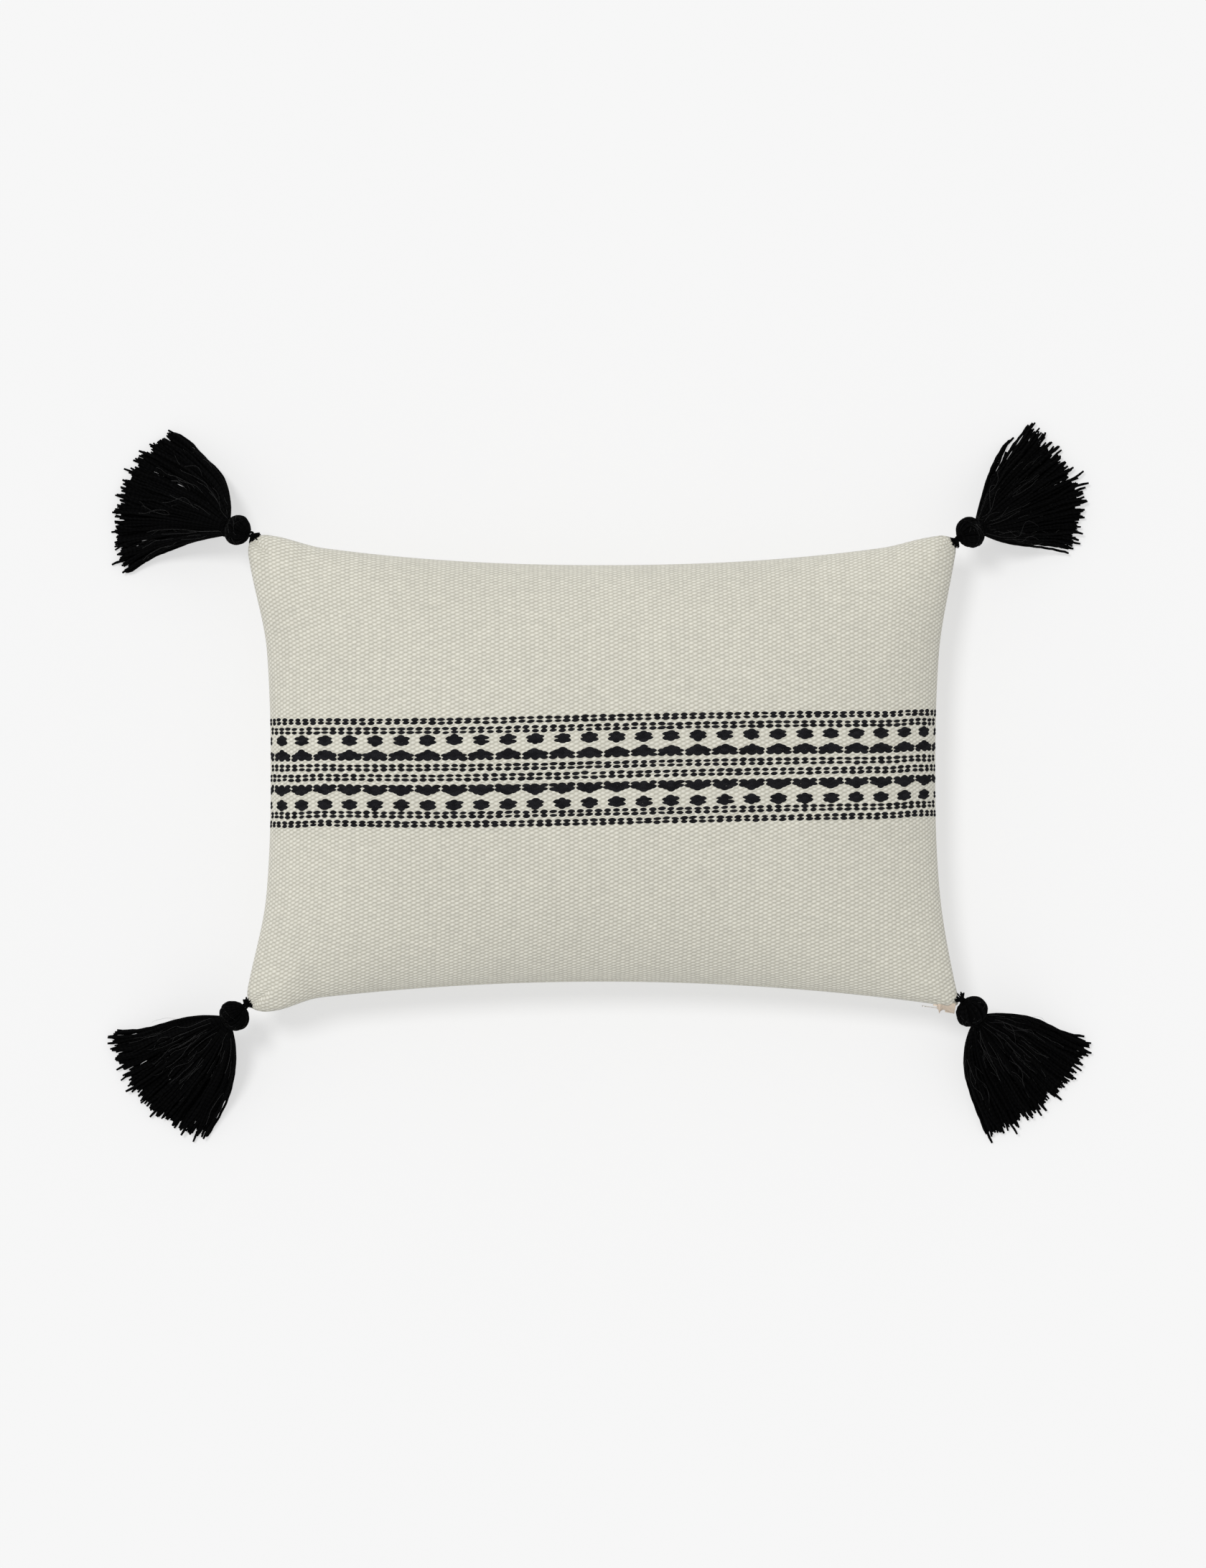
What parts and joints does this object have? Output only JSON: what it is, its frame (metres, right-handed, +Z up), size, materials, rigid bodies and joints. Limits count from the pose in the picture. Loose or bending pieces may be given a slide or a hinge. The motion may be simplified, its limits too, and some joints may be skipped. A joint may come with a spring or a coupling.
{
  "type": "throw pillow",
  "caption": "Stuffed rectangular lumbar pillow in cream woven cotton with a black woven band across the front, a zip along the lower edge and a black yarn tassel at each corner.",
  "frame": {"origin": "middle of the flat patch of the back panel that the pillow rests on", "axes": "+X along the long side, +Y across it away from the zip, +Z up through the patterned front panel"},
  "size_m": [0.8514, 0.6295, 0.14],
  "materials": {
    "woven_cotton": "thick hand-woven cotton, matt",
    "woven_pattern": "black pattern yarn woven into the front, matt",
    "insert_cotton": "plain fine cotton",
    "fibre": "loose polyester fibre",
    "zip_tape": "woven polyester tape",
    "zip_coil": "nylon coil",
    "zip_paint": "painted to match the tape",
    "zip_metal": "bare metal",
    "black_yarn": "twisted cotton yarn"
  },
  "bodies": {
    "pillow": {"cover_front": "woven_cotton", "cover_back": "woven_cotton", "insert_case_front": "insert_cotton", "insert_case_back": "insert_cotton", "fibre_fill": "fibre", "zip_tape_front": "zip_tape", "zip_tape_back": "zip_tape", "zip_coil_front": "zip_coil", "zip_coil_back": "zip_coil", "zip_top_stops": "zip_metal", "zip_bottom_stop": "zip_metal", "corner_stitch_top_left": "black_yarn", "corner_stitch_top_right": "black_yarn", "corner_stitch_bottom_left": "black_yarn", "corner_stitch_bottom_right": "black_yarn"},
    "zip_slider": {"zip_slider": "zip_paint"},
    "zip_pull": {"zip_pull": "zip_metal"},
    "loop_top_left": {"hang_loop_top_left": "black_yarn"},
    "tassel_top_left": {"tassel_head_top_left": "black_yarn", "neck_tie_top_left": "black_yarn", "tassel_skirt_top_left": "black_yarn"},
    "loop_top_right": {"hang_loop_top_right": "black_yarn"},
    "tassel_top_right": {"tassel_head_top_right": "black_yarn", "neck_tie_top_right": "black_yarn", "tassel_skirt_top_right": "black_yarn"},
    "loop_bottom_left": {"hang_loop_bottom_left": "black_yarn"},
    "tassel_bottom_left": {"tassel_head_bottom_left": "black_yarn", "neck_tie_bottom_left": "black_yarn", "tassel_skirt_bottom_left": "black_yarn"},
    "loop_bottom_right": {"hang_loop_bottom_right": "black_yarn"},
    "tassel_bottom_right": {"tassel_head_bottom_right": "black_yarn", "neck_tie_bottom_right": "black_yarn", "tassel_skirt_bottom_right": "black_yarn"}
  },
  "joints": [
    {"name": "zip_run", "type": "hinge", "parent": "pillow", "child": "zip_slider", "pos_m": [0, -2.23828, 0.06], "axis": [0, 0, 1], "range_deg": [0, 15.57]},
    {"name": "pull_flip", "type": "hinge", "parent": "zip_slider", "child": "zip_pull", "pos_m": [0.28259, -0.19747, 0.06], "axis": [0, 0, 1], "range_deg": [0, 130]},
    {"name": "swing_top_left", "type": "hinge", "parent": "pillow", "child": "loop_top_left", "pos_m": [-0.2965, 0.202, 0.06], "axis": [0, 0, 1], "range_deg": [-90, 20]},
    {"name": "lift_top_left", "type": "hinge", "parent": "loop_top_left", "child": "tassel_top_left", "pos_m": [-0.30205, 0.2037, 0.06], "axis": [0.2924, 0.9563, 0], "range_deg": [-33.5, 100.5]},
    {"name": "swing_top_right", "type": "hinge", "parent": "pillow", "child": "loop_top_right", "pos_m": [0.299, 0.198, 0.06], "axis": [0, 0, 1], "range_deg": [-53, 57]},
    {"name": "lift_top_right", "type": "hinge", "parent": "loop_top_right", "child": "tassel_top_right", "pos_m": [0.30412, 0.20072, 0.06], "axis": [0.4695, -0.8829, 0], "range_deg": [-33.5, 100.5]},
    {"name": "swing_bottom_left", "type": "hinge", "parent": "pillow", "child": "loop_bottom_left", "pos_m": [-0.3017, -0.1959, 0.06], "axis": [0, 0, 1], "range_deg": [-56, 54]},
    {"name": "lift_bottom_left", "type": "hinge", "parent": "loop_bottom_left", "child": "tassel_bottom_left", "pos_m": [-0.30608, -0.1997, 0.06], "axis": [-0.6561, 0.7547, 0], "range_deg": [-33.5, 100.5]},
    {"name": "swing_bottom_right", "type": "hinge", "parent": "pillow", "child": "loop_bottom_right", "pos_m": [0.3032, -0.1912, 0.06], "axis": [0, 0, 1], "range_deg": [-23, 87]},
    {"name": "lift_bottom_right", "type": "hinge", "parent": "loop_bottom_right", "child": "tassel_bottom_right", "pos_m": [0.30693, -0.19564, 0.06], "axis": [-0.766, -0.6428, 0], "range_deg": [-33.5, 100.5]}
  ]
}
